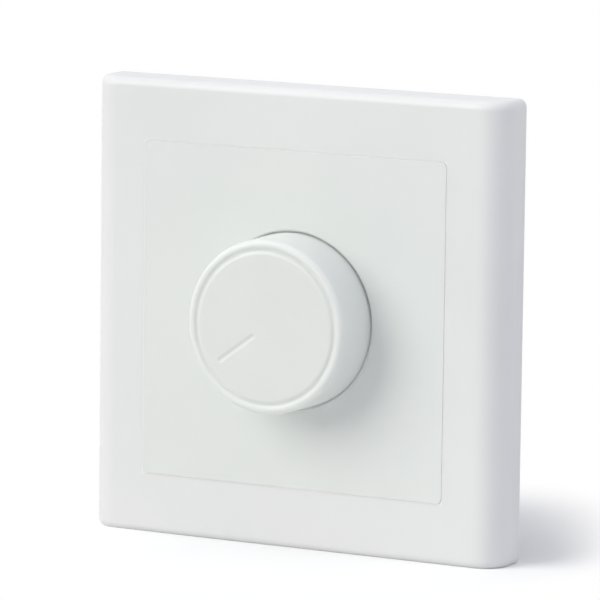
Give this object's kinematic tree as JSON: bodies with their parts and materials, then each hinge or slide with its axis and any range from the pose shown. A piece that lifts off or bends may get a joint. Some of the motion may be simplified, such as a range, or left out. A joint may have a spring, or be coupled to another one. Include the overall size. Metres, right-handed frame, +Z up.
{
  "type": "dimmer switch",
  "caption": "Square white wall dimmer: thick round-edged cover frame, nearly flush centre plate and a round push-and-turn knob, on a module with wire terminals for a wall box.",
  "frame": {"origin": "centre of the cover frame's back rim, in the wall plane, midway between the two box screw slots", "axes": "+X right seen from the front, +Y into the wall, +Z up; the knob faces -Y"},
  "size_m": [0.086, 0.0484, 0.086],
  "materials": {
    "frame_white": "satin moulded thermoplastic",
    "plate_white": "satin moulded thermoplastic",
    "knob_white": "satin moulded thermoplastic",
    "zinc_steel": "bright zinc plate",
    "spring_steel": "tempered",
    "nickel": "nickel plate",
    "die_cast_zinc": "plain cast zinc alloy",
    "case_grey": "fine texture",
    "dark_plastic": "matt",
    "phenolic": "pressed laminate",
    "board_green": "solder mask",
    "contact_brass": "plain",
    "copper": "enamelled wire",
    "ferrite": "sintered",
    "film_red": "dipped resin",
    "film_yellow": "moulded box",
    "resistor_tan": "lacquer",
    "glass_clear": "drawn tube",
    "diac_blue": "lacquer",
    "aluminium": "mill finish",
    "tinned": "tinned copper alloy",
    "nylon": "moulded"
  },
  "bodies": {
    "housing": {"cover_frame": "frame_white", "centre_plate": "plate_white", "support_plate": "zinc_steel", "module_lid": "case_grey", "module_case": "case_grey", "case_screws": "zinc_steel", "pot_bushing": "die_cast_zinc", "pot_washer": "nickel", "pot_nut": "nickel", "pot_track": "phenolic", "pot_terminals": "tinned", "pot_can": "zinc_steel", "switch_contacts": "contact_brass", "switch_case": "dark_plastic", "switch_spring": "spring_steel", "triac": "dark_plastic", "triac_leads": "tinned", "triac_screw": "zinc_steel", "heat_sink": "aluminium", "choke_winding": "copper", "choke_core": "ferrite", "film_capacitor": "film_red", "timing_capacitor": "film_yellow", "resistors": "resistor_tan", "diac": "diac_blue", "fuse_tube": "glass_clear", "fuse_caps": "nickel", "fuse_wire": "tinned", "fuse_clips": "contact_brass", "terminal_clamps": "contact_brass", "terminal_block": "dark_plastic", "terminal_screws": "zinc_steel", "circuit_board": "board_green"},
    "plunger": {"switch_plunger": "nylon", "switch_bridge": "contact_brass"},
    "knob": {"knob": "knob_white", "knob_spring_clip": "spring_steel", "pot_shaft": "aluminium"},
    "rotor": {"pot_rotor": "nylon", "pot_wiper": "contact_brass"}
  },
  "joints": [
    {"name": "knob_push", "type": "slide", "parent": "housing", "child": "plunger", "axis": [0, 1, 0], "range_m": [0, 0.0016], "stiffness_N_per_m": 1500, "springref_m": -0.001, "deforming": ["switch_spring"]},
    {"name": "knob_turn", "type": "hinge", "parent": "plunger", "child": "knob", "pos_m": [0, 0, 0], "axis": [0, 1, 0], "range_deg": [-9, 261]},
    {"name": "wiper_turn", "type": "hinge", "parent": "housing", "child": "rotor", "pos_m": [0, 0, 0], "axis": [0, 1, 0], "range_deg": [-9, 261]}
  ],
  "couplings": [
    {"joint": "wiper_turn", "follows": "knob_turn", "ratio": 1}
  ]
}
